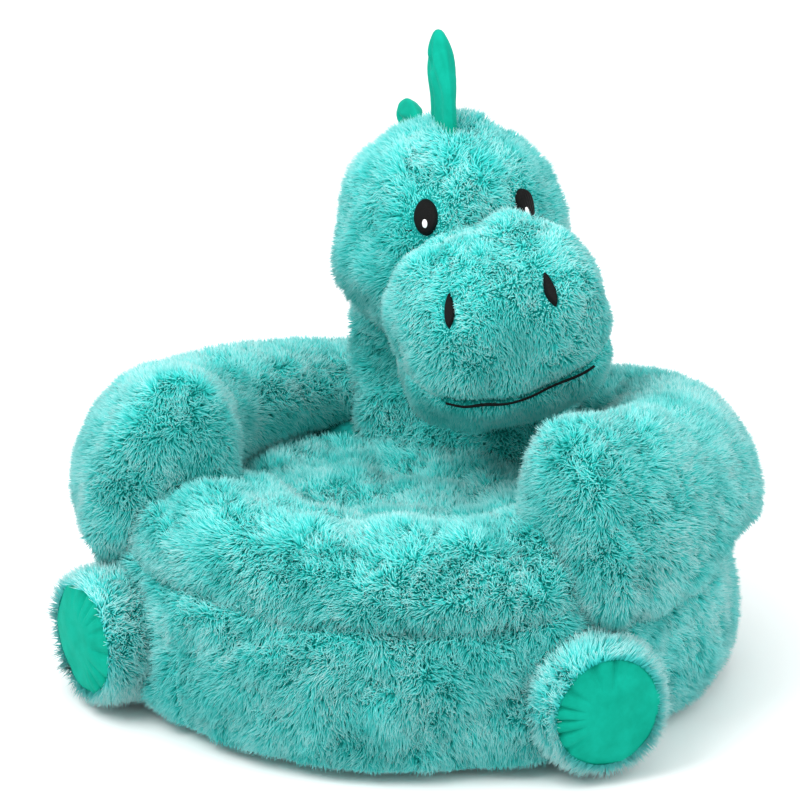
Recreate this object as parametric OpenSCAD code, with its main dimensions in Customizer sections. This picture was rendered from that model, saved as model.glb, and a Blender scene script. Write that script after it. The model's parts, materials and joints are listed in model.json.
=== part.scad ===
// Plush dinosaur armchair for a toddler: a round stuffed seat with two bolster arms, a chest
// and neck at the back that carry a big head, a crest of flat spikes and two feet at the front.
// The origin is the middle of the base on the floor, the front of the seat faces -Y and +Z is up.
// Every cover is drawn with its backing and half of its pile.

/* [Base and seat] */
// Radius of the round base over its cover
base_r = 228; // [180:1:280]
// Height of the seam between the base side and the seat
base_h = 124; // [100:1:160]
// Rounding of the base's lower edge
base_edge_r = 34; // [22:1:45]
// Thickness of every plush cover: backing and half the pile
pile_t = 8; // [4:0.5:10]
// Thickness of the plain cloth under the base
cloth_t = 3; // [2:0.5:4]
// Radius of the stuffed roll along the front of the seat
roll_r = 50; // [35:1:60]
// How far the front roll reaches to each side of the middle, in degrees
roll_a = 47; // [35:1:49]

/* [Arms] */
// Width of an arm at its front end
arm_front_w = 116; // [90:1:130]
// Width of an arm where it meets the chest
arm_rear_w = 104; // [80:1:115]
// Height of an arm at its front end
arm_front_top = 255; // [210:1:300]
// Height of an arm where it meets the chest
arm_rear_top = 188; // [160:1:220]
// How far an arm hangs below the seat seam before it is flattened on the base
arm_drop = 34; // [10:1:50]
// How far the arms stand out past the base
arm_overhang = 25; // [0:1:35]
// Crown of the oval panel on the front end of an arm
arm_crown = 26; // [15:1:30]
// Angle of an arm's front end from the middle of the front
arm_front_a = 58; // [57:1:70]

/* [Chest and neck] */
// Width of the chest
chest_w = 182; // [140:1:190]
// Distance of the chest's front from the middle of the seat
chest_front = 80; // [70:1:95]
// Distance of the back's rear from the middle of the seat
chest_rear = 206; // [190:1:215]
// Height of the chest
chest_top = 186; // [170:1:190]
// Rounding of the chest's upright edges
chest_edge_r = 44; // [20:1:50]
// Radius of the stuffed ball that the head turns on
neck_r = 46; // [36:1:52]
// Height of the middle of that ball above the chest
neck_rise = 38; // [30:1:44]
// Radius of the collar of plush round the neck
collar_r = 56; // [50:1:62]
// Height of the collar
collar_h = 10; // [6:1:12]

/* [Head] */
// Radius of the head
head_r = 88; // [75:1:95]
// Height of the middle of the head above the chest
head_rise = 117; // [114:1:135]
// Half width of the snout
snout_w = 86; // [70:1:95]
// Radius of the snout seen from its side
snout_r = 74; // [60:1:80]
// Rounding of the snout's sides
snout_edge_r = 50; // [35:1:56]
// Distance of the snout's middle in front of the head's middle
snout_reach = 110; // [100:1:120]
// Distance of the snout's middle below the head's middle
snout_drop = 36; // [25:1:45]
// Distance of the mouth below the snout's middle
mouth_drop = 45; // [35:1:55]
// Turn of the head to its own left
head_yaw = 32; // [0:1:40]
// Tilt of the head to its own right
head_roll = 5; // [0:1:10]

/* [Face] */
// Angle of each eye from the middle of the face
eye_a = 28; // [20:1:35]
// Angle of each eye above the middle of the head
eye_up = 26; // [24:1:35]
// Width of an eye
eye_w = 18; // [12:1:22]
// Height of an eye
eye_h = 27; // [23:1:34]
// Thickness of the embroidery of eyes, nostrils and mouth
thread_t = 1.2; // [0.8:0.1:2]
// Radius of the white glint in an eye
glint_r = 3.2; // [2:0.1:4]
// Distance of each nostril from the middle of the snout
nostril_x = 38; // [25:1:45]
// Height of the nostrils above the middle of the snout
nostril_up = 26; // [15:1:35]
// Width of the embroidered mouth line
mouth_line_w = 3; // [2:0.5:5]

/* [Crest] */
// Thickness of a stuffed spike
spike_t = 15; // [10:1:20]
// Thickness of the velour that covers a spike
velour_t = 2; // [1.5:0.5:3]
// Height of the front spike above its seam
spike_front_h = 60; // [45:1:70]
// Length of the front spike along the head
spike_front_l = 58; // [45:1:66]
// Height of the middle spike
spike_mid_h = 38; // [28:1:46]
// Length of the middle spike
spike_mid_l = 44; // [34:1:50]
// Height of the rear spike
spike_rear_h = 30; // [22:1:36]
// Length of the rear spike
spike_rear_l = 38; // [30:1:42]

/* [Feet] */
// Radius of a foot over its cover
foot_r = 50; // [40:1:56]
// How far a foot stands out from the base
foot_l = 38; // [28:1:46]
// Radius of the smooth sole
sole_r = 41; // [33:1:42]
// Thickness of the padded sole cloth
sole_t = 3; // [2:0.5:5]
// Angle of each foot from the middle of the front
foot_a = 51; // [40:1:60]
// Angle that a foot can be lifted through
foot_lift = 16; // [8:1:20]

/* [Zip under the base] */
// Length of the zip
zip_l = 240; // [160:1:280]
// Width of the zip's tape
zip_w = 26; // [20:1:34]
// Width of the closed row of coil teeth
coil_w = 5; // [4:0.5:7]
// Length of the slider
slider_l = 10; // [8:0.5:14]
// Distance of the zip behind the middle of the base
zip_y = 70; // [50:1:90]

/* [Hidden] */
$fn = 96;

gap = 0.5;                       // clearance between pieces that move against each other
sole_seam = 1;                   // room for the seam between a sole and the foot's cover
eps = 0.01;
big = 3 * base_r;
aqua = "#5fc4c0";
deep_aqua = "#2fa9a2";
velour_green = "#0fae92";
fibre_white = "#f4f4f0";

roll_rho = base_r - roll_r;      // circle that the front roll's middle runs on
pit_top = base_h + pile_t;       // top of the sunken seat

// Arms: rings of points swept from the front end to the side of the chest.
arm_rings = 20;
ring_pts = 20;
dome_rings = 4;
arm_square = 2.4;                // 2 is an ellipse, more is squarer
arm_rho = base_r + arm_overhang - arm_front_w / 2;
arm_end_gap = 2;
arm_rear_x = chest_w / 2 + arm_end_gap;
arm_rear_a = 180 - asin(arm_rear_x / arm_rho);

neck_y = (chest_front + chest_rear) / 2 - 12;
neck_x = -8;
neck_z = chest_top + neck_rise;
head_x = neck_x - 2;
head_y = neck_y - 12;
head_z = chest_top + head_rise;

spike_r = spike_t / 2;
spike_seat = head_r + spike_r + gap;   // distance of a spike's seam line from the head's middle
spike_front_a = 4;                     // turns back from straight up
spike_mid_a = 60;
spike_rear_a = 100;

foot_z = foot_r + 1.5;
foot_rho = base_r + gap;

zip_deep = 1;                    // how far the zip lies above the floor
zip_tape_t = 0.8;
tape_l = zip_l + 8;
slider_low = 0.2;
slider_x = zip_l / 2 - slider_l / 2 - 8;

// ---------------------------------------------------------------- helpers

module stadium(w, h) {
    translate([0, h / 2 - w / 2]) circle(d = w);
    translate([0, w / 2 - h / 2]) circle(d = w);
    square([w, h - w], center = true);
}

module round_rect(w, l, r) {
    square([w - 2 * r, l], center = true);
    square([w, l - 2 * r], center = true);
    for (sx = [-1, 1], sy = [-1, 1])
        translate([sx * (w / 2 - r), sy * (l / 2 - r)]) circle(r);
}

module mirrored_left() {
    mirror([1, 0, 0]) children();
}

// ---------------------------------------------------------------- base

// Half outline of the drum, drawn a distance inside its skin.
module base_outline(inset) {
    r = base_r - inset;
    e = base_edge_r - inset;
    translate([0, inset]) square([r - e, base_h - inset]);
    translate([0, inset + e]) square([r, base_h - inset - e]);
    translate([r - e, inset + e]) circle(e);
}

module bottom_cloth() {
    color(deep_aqua) difference() {
        cylinder(r = base_r - base_edge_r, h = cloth_t);
        translate([0, zip_y, 0]) {
            translate([-zip_l / 2, -coil_w / 2 - 2, -1]) cube([zip_l, coil_w + 4, cloth_t + 2]);
            translate([-tape_l / 2, -zip_w / 2, zip_deep]) cube([tape_l, zip_w, cloth_t]);
        }
    }
}

module zip_tape() {
    color(deep_aqua) for (y = [coil_w / 2, -zip_w / 2])
        translate([-tape_l / 2, zip_y + y, zip_deep])
            cube([tape_l, (zip_w - coil_w) / 2, zip_tape_t]);
}

module zip_coil() {
    color("teal") translate([-zip_l / 2, zip_y - coil_w / 2, zip_deep])
        cube([zip_l, coil_w, zip_tape_t]);
}

module zip_slider() {
    color("silver") translate([slider_x - slider_l / 2, zip_y - coil_w / 2 - 1, slider_low])
        cube([slider_l, coil_w + 2, zip_deep - slider_low - 0.3]);
}

module base_foam() {
    color("khaki") rotate_extrude() {
        base_outline(pile_t);
        translate([0, cloth_t]) square([base_r - base_edge_r, pile_t]);
    }
}

module base_side_cover() {
    color(aqua) rotate_extrude() difference() {
        base_outline(0);
        base_outline(pile_t);
        translate([0, -eps]) square([base_r - base_edge_r, pile_t + 2 * eps]);
    }
}

// ---------------------------------------------------------------- seat

// Half disc section of the front roll, drawn a distance inside its skin.
module roll_section(inset) {
    translate([roll_rho, base_h]) intersection() {
        circle(roll_r - inset);
        translate([-roll_r, 0]) square([2 * roll_r, roll_r]);
    }
}

module front_roll(inset) {
    rotate([0, 0, -90 - roll_a]) rotate_extrude(angle = 2 * roll_a) roll_section(inset);
}

module seat_roll_fibre() {
    color(fibre_white) front_roll(pile_t);
}

module seat_roll_cover() {
    color(aqua) rotate([0, 0, -90 - roll_a]) rotate_extrude(angle = 2 * roll_a) difference() {
        roll_section(0);
        roll_section(pile_t);
    }
}

module seat_pit_cover() {
    color(aqua) difference() {
        translate([0, 0, base_h]) cylinder(r = roll_rho - roll_r - gap, h = pile_t);
        translate([-big / 2, chest_front - gap, base_h - 1]) cube([big, big, big]);
    }
}

// ---------------------------------------------------------------- arms

function sgn_pow(v, p) = (v < 0 ? -1 : 1) * pow(abs(v), p);
function mix(a, b, t) = a + (b - a) * t;
function ease(t) = t <= 0 ? 0 : t >= 1 ? 1 : t * t * (3 - 2 * t);

function arm_a(t) = mix(arm_front_a, arm_rear_a, t);
function arm_face(t) = mix(arm_a(t), 180, ease((t - 0.55) / 0.45));
function arm_top(t) = arm_rear_top + (arm_front_top - arm_rear_top) * pow(1 - t, 1.7);
function arm_w(t) = mix(arm_front_w, arm_rear_w, t);

// One ring of the arm at t, shrunk to a share of its size and moved forward of its place.
function arm_ring(t, share, forward, inset) =
    let (
        a = arm_a(t), face = arm_face(t),
        low = base_h - arm_drop,
        half_h = (arm_top(t) - low) / 2,
        mid_z = low + half_h,
        cx = arm_rho * sin(a) - forward * cos(a),
        cy = -arm_rho * cos(a) - forward * sin(a)
    )
    [for (j = [0 : ring_pts - 1])
        let (
            q = 360 * j / ring_pts,
            u = sgn_pow(cos(q), 2 / arm_square) * (arm_w(t) / 2 - inset) * share,
            v = sgn_pow(sin(q), 2 / arm_square) * (half_h - inset) * share
        )
        [cx + u * sin(face), cy - u * cos(face), max(base_h + gap + inset, mid_z + v)]];

function dome_ring(k, inset) =
    let (q = 90 * k / (dome_rings + 1))
    arm_ring(0, cos(q), (arm_crown - inset) * sin(q), inset);

function all_points(rings) = [for (ring = rings) each ring];
function ring_faces(n) = [
    for (i = [0 : n - 2], j = [0 : ring_pts - 1])
        let (
            a = i * ring_pts + j,
            b = i * ring_pts + (j + 1) % ring_pts,
            c = a + ring_pts,
            d = b + ring_pts
        )
        each [[a, b, d], [a, d, c]],
    [for (j = [ring_pts - 1 : -1 : 0]) j],
    [for (j = [0 : ring_pts - 1]) (n - 1) * ring_pts + j]
];

module lofted(rings) {
    polyhedron(points = all_points(rings), faces = ring_faces(len(rings)), convexity = 6);
}

function arm_body_rings(inset) = [
    for (i = [0 : arm_rings]) let (t = i / arm_rings) arm_ring(t, 1, 0, inset)
];
function arm_dome_rings(inset) = [for (k = [dome_rings : -1 : 1]) dome_ring(k, inset)];

module arm_outside() {
    lofted(arm_body_rings(0));
}

module arm_dome_outside() {
    lofted(concat(arm_dome_rings(0), [arm_ring(0, 1, 0, 0)]));
}

// The stuffing stops short of the rear end so that the cover closes behind it.
module arm_inside() {
    difference() {
        lofted(concat(arm_dome_rings(pile_t), arm_body_rings(pile_t)));
        translate([0, chest_front - 10, 0]) cube([arm_rear_x + pile_t, big, big]);
    }
}

module arm_fibre() {
    color(fibre_white) arm_inside();
}

module arm_cover() {
    color(aqua) difference() {
        arm_outside();
        arm_inside();
    }
}

module arm_end_panel() {
    color("#7bccc9") difference() {
        arm_dome_outside();
        arm_inside();
    }
}

module arm_left_fibre() { mirrored_left() arm_fibre(); }
module arm_left_cover() { mirrored_left() arm_cover(); }
module arm_left_end_panel() { mirrored_left() arm_end_panel(); }
module arm_right_fibre() { arm_fibre(); }
module arm_right_cover() { arm_cover(); }
module arm_right_end_panel() { arm_end_panel(); }

// ---------------------------------------------------------------- chest and neck

module chest_outline(inset) {
    translate([0, (chest_front + chest_rear) / 2])
        round_rect(chest_w - 2 * inset, chest_rear - chest_front - 2 * inset, chest_edge_r - inset);
}

module chest_block(inset, below = 0) {
    translate([0, 0, base_h + gap - below])
        linear_extrude(height = chest_top - base_h - gap - inset + below) chest_outline(inset);
}

module chest_fibre() {
    color(fibre_white) chest_block(pile_t);
}

// The chest panel and the back panel meet at a seam halfway along the sides.
module chest_shell() {
    difference() {
        chest_block(0);
        chest_block(pile_t, below = 1);
    }
}

module chest_panel() {
    color("#1fa8a2") intersection() {
        chest_shell();
        translate([-big / 2, 0, 0]) cube([big, (chest_front + chest_rear) / 2, big]);
    }
}

module back_panel() {
    color(aqua) difference() {
        chest_shell();
        translate([-big / 2, -big / 2, 0]) cube([big, big / 2 + (chest_front + chest_rear) / 2, big]);
    }
}

module at_neck() {
    translate([neck_x, neck_y, neck_z]) children();
}

module neck_fibre() {
    color(fibre_white) intersection() {
        at_neck() sphere(neck_r);
        translate([-big / 2, -big / 2, chest_top + gap]) cube([big, big, big]);
    }
}

module neck_collar() {
    color(aqua) difference() {
        translate([neck_x, neck_y, chest_top + gap]) cylinder(r = collar_r, h = collar_h);
        at_neck() sphere(neck_r);
    }
}

// ---------------------------------------------------------------- head

module at_head() {
    translate([head_x, head_y, head_z]) rotate([0, 0, head_yaw]) children();
}

// The eyes and the crest are tilted with the top of the head, and the snout hangs level.
module at_brow() {
    at_head() rotate([0, -head_roll, 0]) children();
}

// The snout lies across the face as a barrel with well rounded ends: half of its lengthwise
// section, drawn a distance outside its skin.
module snout_section(grow) {
    half = snout_w + grow;
    r = snout_r + grow;
    e = snout_edge_r + grow;
    translate([0, -half]) square([r - e, 2 * half]);
    translate([0, e - half]) square([r, 2 * (half - e)]);
    for (s = [-1, 1]) intersection() {
        translate([r - e, s * (half - e)]) circle(e);
        translate([0, -big / 2]) square([big, big]);
    }
}

module at_snout() {
    translate([0, -snout_reach, -snout_drop]) rotate([0, 90, 0]) children();
}

module snout_form(grow) {
    at_snout() rotate_extrude() snout_section(grow);
}

// A layer over the snout, from one distance outside its skin to another.
module snout_layer(from, to) {
    at_snout() rotate_extrude() difference() {
        snout_section(to);
        snout_section(from);
    }
}

module neck_socket() {
    at_neck() sphere(neck_r + gap);
}

module head_fibre() {
    color(fibre_white) difference() {
        at_head() sphere(head_r - pile_t);
        at_head() snout_form(0);
        neck_socket();
    }
}

module head_cover() {
    color(aqua) difference() {
        at_head() sphere(head_r);
        at_head() sphere(head_r - pile_t);
        at_head() snout_form(0);
        neck_socket();
    }
}

module snout_fibre() {
    color(fibre_white) at_head() snout_form(-pile_t);
}

// Half space below the mouth.
module below_mouth() {
    translate([-big / 2, -big / 2, -snout_drop - mouth_drop - big]) cube([big, big, big]);
}

module snout_cover() {
    color("#52c1bd") at_head() difference() {
        snout_layer(-pile_t, 0);
        below_mouth();
    }
}

module jaw_cover() {
    color("#0c847b") at_head() intersection() {
        snout_layer(-pile_t, 0);
        below_mouth();
    }
}

module mouth_line() {
    color("black") at_head() intersection() {
        snout_layer(0, thread_t);
        translate([-snout_w * 0.75, -snout_reach - snout_r - 5, -snout_drop - mouth_drop])
            cube([snout_w * 1.5, snout_r + 5, mouth_line_w]);
    }
}

// ---------------------------------------------------------------- face

module at_eye(side) {
    rotate([0, 0, side * eye_a]) rotate([-eye_up, 0, 0]) rotate([90, 0, 0]) children();
}

// A thin layer on the head, from one height above its skin to another.
module head_layer(from, to) {
    difference() {
        sphere(head_r + to);
        sphere(head_r + from);
    }
}

module eye(side) {
    color("black") difference() {
        at_brow() intersection() {
            head_layer(0, thread_t);
            at_eye(side) linear_extrude(height = big) stadium(eye_w, eye_h);
        }
        at_head() snout_form(0);
    }
}

module eye_glint(side) {
    color("white") at_brow() intersection() {
        head_layer(thread_t, 2 * thread_t);
        at_eye(side) translate([eye_w / 6, eye_h / 5, 0]) cylinder(r = glint_r, h = big);
    }
}

module nostril(side) {
    color("black") at_head() intersection() {
        snout_layer(0, thread_t);
        translate([side * nostril_x, -snout_reach, -snout_drop + nostril_up]) rotate([90, 0, 0])
            linear_extrude(height = big) stadium(7, 20);
    }
}

module eye_left() { eye(-1); }
module eye_right() { eye(1); }
module eye_glint_left() { eye_glint(-1); }
module eye_glint_right() { eye_glint(1); }
module nostril_left() { nostril(-1); }
module nostril_right() { nostril(1); }

// ---------------------------------------------------------------- crest

// Leaf of two arcs, cut off along its seam line.
module spike_leaf(h, l, inset) {
    r = (h * h + l * l / 4) / l;
    intersection() {
        translate([l / 2 - r, 0]) circle(r - inset);
        translate([r - l / 2, 0]) circle(r - inset);
        translate([-l, inset]) square([2 * l, h]);
    }
}

module at_spike(a) {
    at_brow() rotate([-a, 0, 0]) translate([0, 0, spike_seat]) children();
}

// A plate with a round lower edge, so that it can bend to either side on its seam.
module spike_form(h, l, inset) {
    t = spike_t - 2 * inset;
    rotate([90, 0, 90]) translate([0, 0, -t / 2]) linear_extrude(height = t) spike_leaf(h, l, inset);
    rotate([90, 0, 0]) cylinder(d = t, h = l - 2 * inset - 6, center = true);
}

module spike_cover(a, h, l) {
    color(velour_green) at_spike(a) difference() {
        spike_form(h, l, 0);
        spike_form(h, l, velour_t);
    }
}

module spike_fibre(a, h, l) {
    color(fibre_white) at_spike(a) spike_form(h, l, velour_t);
}

module spike_front_cover() { spike_cover(spike_front_a, spike_front_h, spike_front_l); }
module spike_front_fibre() { spike_fibre(spike_front_a, spike_front_h, spike_front_l); }
module spike_middle_cover() { spike_cover(spike_mid_a, spike_mid_h, spike_mid_l); }
module spike_middle_fibre() { spike_fibre(spike_mid_a, spike_mid_h, spike_mid_l); }
module spike_rear_cover() { spike_cover(spike_rear_a, spike_rear_h, spike_rear_l); }
module spike_rear_fibre() { spike_fibre(spike_rear_a, spike_rear_h, spike_rear_l); }

// ---------------------------------------------------------------- feet

// The foot points along -Y. Its back leans away above the seam so that it can be lifted.
module foot_form(r, from, to) {
    difference() {
        rotate([90, 0, 0]) translate([0, 0, from]) cylinder(r = r, h = to - from);
        rotate([foot_lift, 0, 0]) translate([-big / 2, 0, 0]) cube([big, big, big]);
    }
}

module at_foot() {
    rotate([0, 0, foot_a]) translate([0, -foot_rho, foot_z]) children();
}

module foot_fibre() {
    color(fibre_white) at_foot() foot_form(foot_r - pile_t, 0, foot_l - sole_t);
}

module foot_cover() {
    color("#9bd7d6") at_foot() difference() {
        foot_form(foot_r, 0, foot_l);
        foot_form(foot_r - pile_t, -big / 2, foot_l + 1);
        translate([0, -foot_l + sole_t, 0]) rotate([90, 0, 0])
            cylinder(r = sole_r + sole_seam, h = sole_t + 1);
    }
}

module foot_sole() {
    color(velour_green) at_foot() translate([0, -foot_l + sole_t, 0]) rotate([90, 0, 0])
        cylinder(r = sole_r, h = sole_t);
}

module foot_left_cover() { mirrored_left() foot_cover(); }
module foot_left_fibre() { mirrored_left() foot_fibre(); }
module foot_left_sole() { mirrored_left() foot_sole(); }
module foot_right_cover() { foot_cover(); }
module foot_right_fibre() { foot_fibre(); }
module foot_right_sole() { foot_sole(); }

// ---------------------------------------------------------------- the nodes

bottom_cloth();
zip_tape();
zip_coil();
zip_slider();
base_foam();
base_side_cover();
seat_roll_fibre();
seat_roll_cover();
seat_pit_cover();
arm_left_fibre();
arm_left_cover();
arm_left_end_panel();
arm_right_fibre();
arm_right_cover();
arm_right_end_panel();
chest_fibre();
chest_panel();
back_panel();
neck_fibre();
neck_collar();
head_fibre();
head_cover();
snout_fibre();
snout_cover();
jaw_cover();
mouth_line();
eye_left();
eye_right();
eye_glint_left();
eye_glint_right();
nostril_left();
nostril_right();
spike_front_cover();
spike_front_fibre();
spike_middle_cover();
spike_middle_fibre();
spike_rear_cover();
spike_rear_fibre();
foot_left_cover();
foot_left_fibre();
foot_left_sole();
foot_right_cover();
foot_right_fibre();
foot_right_sole();
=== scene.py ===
# %% [markdown]
# # A plush dinosaur armchair
# The real chair is a stuffed toy that a toddler sits in: a round base, two fat arms, a chest
# that carries a big head, a crest of velour spikes and two feet. Its covers are long pile plush,
# so almost everything that shows is fur. Each cover is made as a skin, a smooth surface where
# the plush's backing lies, and the pile is then grown on that skin as short tapered hairs.

# %% The frame
import json
import math

import bpy
import numpy as np
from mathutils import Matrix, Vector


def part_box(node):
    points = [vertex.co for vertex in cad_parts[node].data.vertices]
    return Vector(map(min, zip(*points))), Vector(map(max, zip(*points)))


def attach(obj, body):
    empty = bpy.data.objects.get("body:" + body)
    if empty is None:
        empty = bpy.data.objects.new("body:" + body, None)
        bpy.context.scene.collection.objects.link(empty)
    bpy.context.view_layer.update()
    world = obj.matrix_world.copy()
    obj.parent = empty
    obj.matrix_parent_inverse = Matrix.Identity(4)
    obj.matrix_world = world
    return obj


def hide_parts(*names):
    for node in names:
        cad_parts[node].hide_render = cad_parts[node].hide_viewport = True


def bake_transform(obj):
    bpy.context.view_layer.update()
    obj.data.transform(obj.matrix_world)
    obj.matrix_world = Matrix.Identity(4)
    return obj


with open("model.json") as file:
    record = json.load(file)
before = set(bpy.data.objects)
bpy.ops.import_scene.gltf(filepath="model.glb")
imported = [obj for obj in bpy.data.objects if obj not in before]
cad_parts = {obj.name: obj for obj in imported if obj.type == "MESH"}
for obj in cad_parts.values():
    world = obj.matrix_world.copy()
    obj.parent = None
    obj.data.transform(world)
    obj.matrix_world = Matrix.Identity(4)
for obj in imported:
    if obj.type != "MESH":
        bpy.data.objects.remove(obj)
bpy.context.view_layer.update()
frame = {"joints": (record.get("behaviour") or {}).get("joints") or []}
joints = {joint["name"]: joint for joint in frame["joints"]}


# %% [markdown]
# ## The camera and the light
# A long lens from a little above keeps the round base round. The chair stands on a plain
# pale floor under big soft lamps, as a toy is shown in a shop.

# %% Camera
def direction(azimuth, elevation):
    """Unit vector from the chair towards a place that is seen at these angles."""
    a, e = math.radians(azimuth), math.radians(elevation)
    return np.array([math.sin(a) * math.cos(e), -math.cos(a) * math.cos(e), math.sin(e)])


VIEW_AZIMUTH, VIEW_ELEVATION = 18.7, 22.0
VIEW_DISTANCE = 4.5
VIEW_WIDTH = 0.6015
aim = np.array([-0.035, 0.064, 0.177])
bpy.ops.object.camera_add()
camera = bpy.context.object
camera.name = "camera"
camera.data.sensor_width = 36
camera.data.lens = 36 * VIEW_DISTANCE / VIEW_WIDTH
camera.location = aim + VIEW_DISTANCE * direction(VIEW_AZIMUTH, VIEW_ELEVATION)
back = camera.location - type(camera.location)(aim)
camera.rotation_euler = back.to_track_quat("Z", "Y").to_euler()
bpy.context.scene.camera = camera
print("camera: %.0f mm lens" % camera.data.lens)


# %% Colours shown as they are mixed
# The usual film-like display greys strong colours, and this teal is a strong colour.
bpy.context.scene.view_settings.view_transform = "Standard"

# %% Floor and lamps
def lamp(name, azimuth, elevation, distance, size, power, colour=(1, 1, 1)):
    bpy.ops.object.light_add(type="AREA")
    light = bpy.context.object
    light.name = name
    light.data.size = size
    light.data.energy = power
    light.data.color = colour
    place = np.array([0, 0, 0.2]) + distance * direction(azimuth, elevation)
    light.location = place
    back = light.location - type(light.location)((0, 0, 0.2))
    light.rotation_euler = back.to_track_quat("Z", "Y").to_euler()


lamp("key_lamp", -30, 50, 1.9, 1.1, 25)
lamp("side_lamp", 75, 35, 2.0, 1.4, 13)
lamp("top_lamp", 10, 88, 2.0, 1.6, 13)
lamp("rear_lamp", 190, 40, 2.2, 1.4, 9)
world = bpy.data.worlds.new("soft_room")
bpy.context.scene.world = world
world.use_nodes = True
world.node_tree.nodes["Background"].inputs["Color"].default_value = (1, 1, 1, 1)
world.node_tree.nodes["Background"].inputs["Strength"].default_value = 0.72

bpy.ops.mesh.primitive_plane_add(size=12, location=(0, 0, -0.0005))
floor = bpy.context.object
floor.name = "floor"
floor_finish = bpy.data.materials.new("floor_paper")
floor_finish.use_nodes = True
paper = floor_finish.node_tree.nodes["Principled BSDF"]
paper.inputs["Base Color"].default_value = (0.97, 0.97, 0.97, 1)
paper.inputs["Roughness"].default_value = 0.9
floor.data.materials.append(floor_finish)

# %% [markdown]
# ## Tools for skins
# A skin is a grid bent into place by a short function of two numbers, as a sewn panel is a flat
# piece of cloth bent round the stuffing. The lumps of the stuffing are a sum of a few waves in
# set directions, which is smooth, cheap and the same on every run.


# %% Skins
def smooth(x):
    x = np.clip(x, 0, 1)
    return x * x * (3 - 2 * x)


def mix(a, b, t):
    return a + (b - a) * t


def lumps(points, size, seed, waves=14):
    """Smooth noise between about -1 and 1, with features of the given size in metres."""
    rng = np.random.default_rng(seed)
    total = np.zeros(len(points))
    for _ in range(waves):
        way = rng.normal(size=3)
        way *= 2 * np.pi / (size * rng.uniform(0.7, 1.6)) / np.linalg.norm(way)
        total += np.cos(points @ way + rng.uniform(0, 2 * np.pi))
    return total / math.sqrt(waves)


def points_of(obj):
    co = np.empty(len(obj.data.vertices) * 3)
    obj.data.vertices.foreach_get("co", co)
    return co.reshape(-1, 3)


def normals_of(obj):
    out = np.empty(len(obj.data.vertices) * 3)
    obj.data.vertex_normals.foreach_get("vector", out)
    return out.reshape(-1, 3)


def move_points(obj, points):
    obj.data.vertices.foreach_set("co", np.asarray(points, dtype=float).ravel())
    obj.data.update()


def alone(obj):
    bpy.ops.object.select_all(action="DESELECT")
    obj.select_set(True)
    bpy.context.view_layer.objects.active = obj


def tidy_skin(obj, outside_of, levels=0):
    """Merges the seams, points the faces away from a place inside, and smooths."""
    alone(obj)
    bpy.ops.object.mode_set(mode="EDIT")
    bpy.ops.mesh.select_all(action="SELECT")
    bpy.ops.mesh.remove_doubles(threshold=1e-5)
    bpy.ops.mesh.normals_make_consistent(inside=False)
    bpy.ops.object.mode_set(mode="OBJECT")
    away = points_of(obj) - np.asarray(outside_of)
    if np.sum(normals_of(obj) * away) < 0:
        bpy.ops.object.mode_set(mode="EDIT")
        bpy.ops.mesh.flip_normals()
        bpy.ops.object.mode_set(mode="OBJECT")
    if levels:
        sub = obj.modifiers.new("smooth", "SUBSURF")
        sub.levels = sub.render_levels = levels
        bpy.ops.object.modifier_apply(modifier=sub.name)
    bpy.ops.object.shade_smooth()


def panel(name, across, along, shape, inside):
    """A grid bent by shape(u, v), with u and v from 0 to 1."""
    bpy.ops.object.select_all(action="DESELECT")
    bpy.ops.mesh.primitive_grid_add(x_subdivisions=across, y_subdivisions=along, size=1)
    obj = bpy.context.object
    obj.name = obj.data.name = name
    flat = points_of(obj)
    move_points(obj, shape(flat[:, 0] + 0.5, flat[:, 1] + 0.5))
    tidy_skin(obj, inside)
    return obj


def ball(surface):
    """A shape for panel: the two numbers become directions all round, from bottom to top."""
    def shape(u, v):
        turn, rise = 2 * np.pi * u, np.pi * (v - 0.5)
        level = np.cos(rise)
        return surface(np.stack([level * np.cos(turn), level * np.sin(turn), np.sin(rise)], axis=1))
    return shape


# %% Where things are, from the frame
base_r, _, base_h = np.array(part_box("base_side_cover"))[1]
arm_box = np.array(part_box("arm_right_cover"))
chest_box = np.array(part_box("chest_panel"))
back_box = np.array(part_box("back_panel"))
neck = np.array(joints["head_turn"]["pos_m"])
nod_axis = np.array(joints["head_nod"]["axis"])
head_yaw = math.atan2(nod_axis[1], nod_axis[0])
head_box = np.array(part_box("head_cover"))
HEAD_R = 0.088
head = np.array([head_box[0][0] + HEAD_R, head_box[1][1] - HEAD_R, head_box[1][2] - HEAD_R])
head += (-0.004, 0, -0.003)
PILE = 0.0092    # length of a hair
ROOT = 0.005     # how far a skin lies inside the cover's outer face
print("base radius %.3f, head centre" % base_r, head.round(3))

# %% [markdown]
# ## Finishes
# Long pile plush is teal. It is painted deep teal near its backing, as painted shade where light
# is trapped, and pale aqua at its tips, as painted light shining through them. The colour of a
# hair is read from a map that is laid along it: one way is how far up the hair a point is, the
# other is the tone of its tuft, so combed patches differ as on real plush.


# %% Material helpers
def material(name):
    finish = bpy.data.materials.new(name)
    finish.use_nodes = True
    return finish, finish.node_tree, finish.node_tree.nodes["Principled BSDF"]


def wire(tree, source, target):
    tree.links.new(source, target)


def ramp(tree, stops):
    node = tree.nodes.new("ShaderNodeValToRGB")
    while len(node.color_ramp.elements) < len(stops):
        node.color_ramp.elements.new(0.5)
    for element, (place, colour) in zip(node.color_ramp.elements, stops):
        element.position = place
        element.color = (*colour, 1)
    return node


def matt(skin, roughness, shine):
    skin.inputs["Roughness"].default_value = roughness
    skin.inputs["Specular IOR Level"].default_value = shine


def raise_grain(tree, skin, height, strength, distance):
    """A fine relief in the surface, driven by a texture."""
    bump = tree.nodes.new("ShaderNodeBump")
    bump.inputs["Strength"].default_value = strength
    bump.inputs["Distance"].default_value = distance
    wire(tree, height, bump.inputs["Height"])
    wire(tree, bump.outputs["Normal"], skin.inputs["Normal"])


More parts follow.
